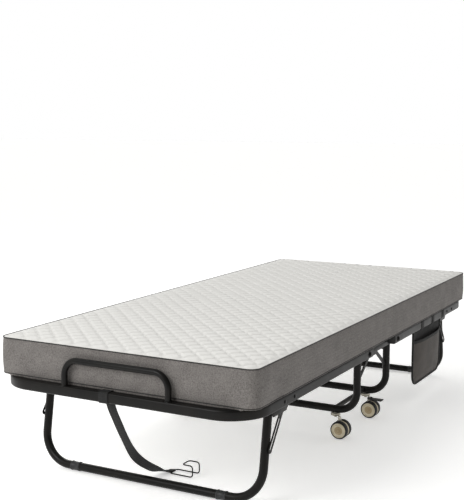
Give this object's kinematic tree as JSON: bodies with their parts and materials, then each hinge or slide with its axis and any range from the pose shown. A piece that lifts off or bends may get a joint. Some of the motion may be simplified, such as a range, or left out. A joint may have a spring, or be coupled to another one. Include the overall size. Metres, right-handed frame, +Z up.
{
  "type": "rollaway bed",
  "caption": "Folding guest bed: a castor carriage carries two hinged half frames with fold-out leg hoops under one padded mattress.",
  "frame": {"origin": "the point of the floor under the middle of the open bed", "axes": "+X along the bed to the head end, +Y to the left side of the bed seen from its foot, +Z up"},
  "size_m": [1.9625, 0.854, 0.4225],
  "materials": {
    "powder_coat": "satin near-black powder coat on steel tube, bar and wire",
    "zinc_steel": "zinc plated pressed steel",
    "mattress_cover": "white quilted knit top and base with a grey melange side border",
    "castor_wheel": "cream nylon wheel centre with a black soft tread",
    "black_plastic": "moulded black plastic",
    "sleeve_plastic": "moulded black plastic sleeve",
    "webbing": "black woven polyester webbing",
    "pocket_cloth": "dark woven polyester cloth"
  },
  "bodies": {
    "carriage": {"foot_base_hoop": "powder_coat", "head_base_hoop": "powder_coat", "left_side_rail": "powder_coat", "right_side_rail": "powder_coat", "left_v_brace": "powder_coat", "right_v_brace": "powder_coat", "left_tie_bar": "powder_coat", "right_tie_bar": "powder_coat", "mattress_centre": "mattress_cover"},
    "foot_frame": {"foot_frame_tube": "powder_coat", "foot_hinge_bar": "powder_coat", "foot_cross_tube": "powder_coat", "foot_centre_tube": "powder_coat", "foot_wire_mesh": "powder_coat", "foot_retainer_hoop": "powder_coat", "foot_mattress": "mattress_cover", "foot_leg_bracket_left": "powder_coat", "foot_leg_bracket_right": "powder_coat", "strap_loop": "webbing", "strap": "webbing", "strap_hook": "powder_coat"},
    "foot_leg": {"foot_leg_hoop": "powder_coat", "foot_leg_sleeve_left": "sleeve_plastic", "foot_leg_sleeve_right": "sleeve_plastic"},
    "foot_struts": {"foot_leg_strut_left": "powder_coat", "foot_leg_strut_right": "powder_coat"},
    "head_frame": {"head_frame_tube": "powder_coat", "head_hinge_bar": "powder_coat", "head_cross_tube": "powder_coat", "head_centre_tube": "powder_coat", "head_wire_mesh": "powder_coat", "head_retainer_hoop": "powder_coat", "head_mattress": "mattress_cover", "head_leg_bracket_left": "powder_coat", "head_leg_bracket_right": "powder_coat", "side_pocket": "pocket_cloth"},
    "head_leg": {"head_leg_hoop": "powder_coat", "head_leg_sleeve_left": "sleeve_plastic", "head_leg_sleeve_right": "sleeve_plastic"},
    "head_struts": {"head_leg_strut_left": "powder_coat", "head_leg_strut_right": "powder_coat"},
    "castor_foot_left": {"castor_foot_left_fork": "zinc_steel", "castor_foot_left_axle": "zinc_steel"},
    "wheel_foot_left_inner": {"castor_foot_left_wheel_inner": "castor_wheel"},
    "wheel_foot_left_outer": {"castor_foot_left_wheel_outer": "castor_wheel"},
    "castor_foot_right": {"castor_foot_right_fork": "zinc_steel", "castor_foot_right_axle": "zinc_steel"},
    "wheel_foot_right_inner": {"castor_foot_right_wheel_inner": "castor_wheel"},
    "wheel_foot_right_outer": {"castor_foot_right_wheel_outer": "castor_wheel"},
    "castor_head_left": {"castor_head_left_fork": "zinc_steel", "castor_head_left_axle": "zinc_steel"},
    "wheel_head_left_inner": {"castor_head_left_wheel_inner": "castor_wheel"},
    "wheel_head_left_outer": {"castor_head_left_wheel_outer": "castor_wheel"},
    "brake_head_left": {"castor_head_left_brake_lever": "black_plastic"},
    "castor_head_right": {"castor_head_right_fork": "zinc_steel", "castor_head_right_axle": "zinc_steel"},
    "wheel_head_right_inner": {"castor_head_right_wheel_inner": "castor_wheel"},
    "wheel_head_right_outer": {"castor_head_right_wheel_outer": "castor_wheel"},
    "brake_head_right": {"castor_head_right_brake_lever": "black_plastic"}
  },
  "joints": [
    {"name": "foot_frame_fold", "type": "hinge", "parent": "carriage", "child": "foot_frame", "pos_m": [-0.137, 0, 0.296], "axis": [0, 1, 0], "range_deg": [0, 90], "deforming": ["mattress_centre"]},
    {"name": "foot_leg_fold", "type": "hinge", "parent": "foot_frame", "child": "foot_leg", "pos_m": [-0.775, 0, 0.266], "axis": [0, -1, 0], "range_deg": [0, 96.5], "deforming": ["strap", "strap_hook"]},
    {"name": "foot_strut_swing", "type": "hinge", "parent": "foot_frame", "child": "foot_struts", "pos_m": [-0.713, 0, 0.266], "axis": [0, -1, 0], "range_deg": [0, 120.2]},
    {"name": "head_frame_fold", "type": "hinge", "parent": "carriage", "child": "head_frame", "pos_m": [0.137, 0, 0.296], "axis": [0, -1, 0], "range_deg": [0, 90], "deforming": ["mattress_centre"]},
    {"name": "head_leg_fold", "type": "hinge", "parent": "head_frame", "child": "head_leg", "pos_m": [0.775, 0, 0.266], "axis": [0, 1, 0], "range_deg": [0, 96.5]},
    {"name": "head_strut_swing", "type": "hinge", "parent": "head_frame", "child": "head_struts", "pos_m": [0.713, 0, 0.266], "axis": [0, 1, 0], "range_deg": [0, 120.2]},
    {"name": "castor_foot_left_swivel", "type": "hinge", "parent": "carriage", "child": "castor_foot_left", "pos_m": [-0.137, 0.306, 0.08], "axis": [0, 0, 1], "continuous": true},
    {"name": "wheel_foot_left_inner_spin", "type": "hinge", "parent": "castor_foot_left", "child": "wheel_foot_left_inner", "pos_m": [-0.137, 0.286, 0.03], "axis": [1, 0, 0], "continuous": true},
    {"name": "wheel_foot_left_outer_spin", "type": "hinge", "parent": "castor_foot_left", "child": "wheel_foot_left_outer", "pos_m": [-0.137, 0.286, 0.03], "axis": [1, 0, 0], "continuous": true},
    {"name": "castor_foot_right_swivel", "type": "hinge", "parent": "carriage", "child": "castor_foot_right", "pos_m": [-0.137, -0.306, 0.08], "axis": [0, 0, 1], "continuous": true},
    {"name": "wheel_foot_right_inner_spin", "type": "hinge", "parent": "castor_foot_right", "child": "wheel_foot_right_inner", "pos_m": [-0.137, -0.326, 0.03], "axis": [1, 0, 0], "continuous": true},
    {"name": "wheel_foot_right_outer_spin", "type": "hinge", "parent": "castor_foot_right", "child": "wheel_foot_right_outer", "pos_m": [-0.137, -0.326, 0.03], "axis": [1, 0, 0], "continuous": true},
    {"name": "castor_head_left_swivel", "type": "hinge", "parent": "carriage", "child": "castor_head_left", "pos_m": [0.137, 0.306, 0.08], "axis": [0, 0, 1], "continuous": true},
    {"name": "wheel_head_left_inner_spin", "type": "hinge", "parent": "castor_head_left", "child": "wheel_head_left_inner", "pos_m": [0.137, 0.286, 0.03], "axis": [1, 0, 0], "continuous": true},
    {"name": "wheel_head_left_outer_spin", "type": "hinge", "parent": "castor_head_left", "child": "wheel_head_left_outer", "pos_m": [0.137, 0.286, 0.03], "axis": [1, 0, 0], "continuous": true},
    {"name": "brake_head_left_press", "type": "hinge", "parent": "castor_head_left", "child": "brake_head_left", "pos_m": [0.137, 0.292, 0.068], "axis": [1, 0, 0], "range_deg": [0, 12]},
    {"name": "castor_head_right_swivel", "type": "hinge", "parent": "carriage", "child": "castor_head_right", "pos_m": [0.137, -0.306, 0.08], "axis": [0, 0, 1], "continuous": true},
    {"name": "wheel_head_right_inner_spin", "type": "hinge", "parent": "castor_head_right", "child": "wheel_head_right_inner", "pos_m": [0.137, -0.326, 0.03], "axis": [1, 0, 0], "continuous": true},
    {"name": "wheel_head_right_outer_spin", "type": "hinge", "parent": "castor_head_right", "child": "wheel_head_right_outer", "pos_m": [0.137, -0.326, 0.03], "axis": [1, 0, 0], "continuous": true},
    {"name": "brake_head_right_press", "type": "hinge", "parent": "castor_head_right", "child": "brake_head_right", "pos_m": [0.137, -0.32, 0.068], "axis": [1, 0, 0], "range_deg": [0, 12]}
  ],
  "couplings": [
    {"joint": "foot_strut_swing", "follows": "foot_leg_fold", "ratio": 1.245},
    {"joint": "head_strut_swing", "follows": "head_leg_fold", "ratio": 1.245}
  ]
}
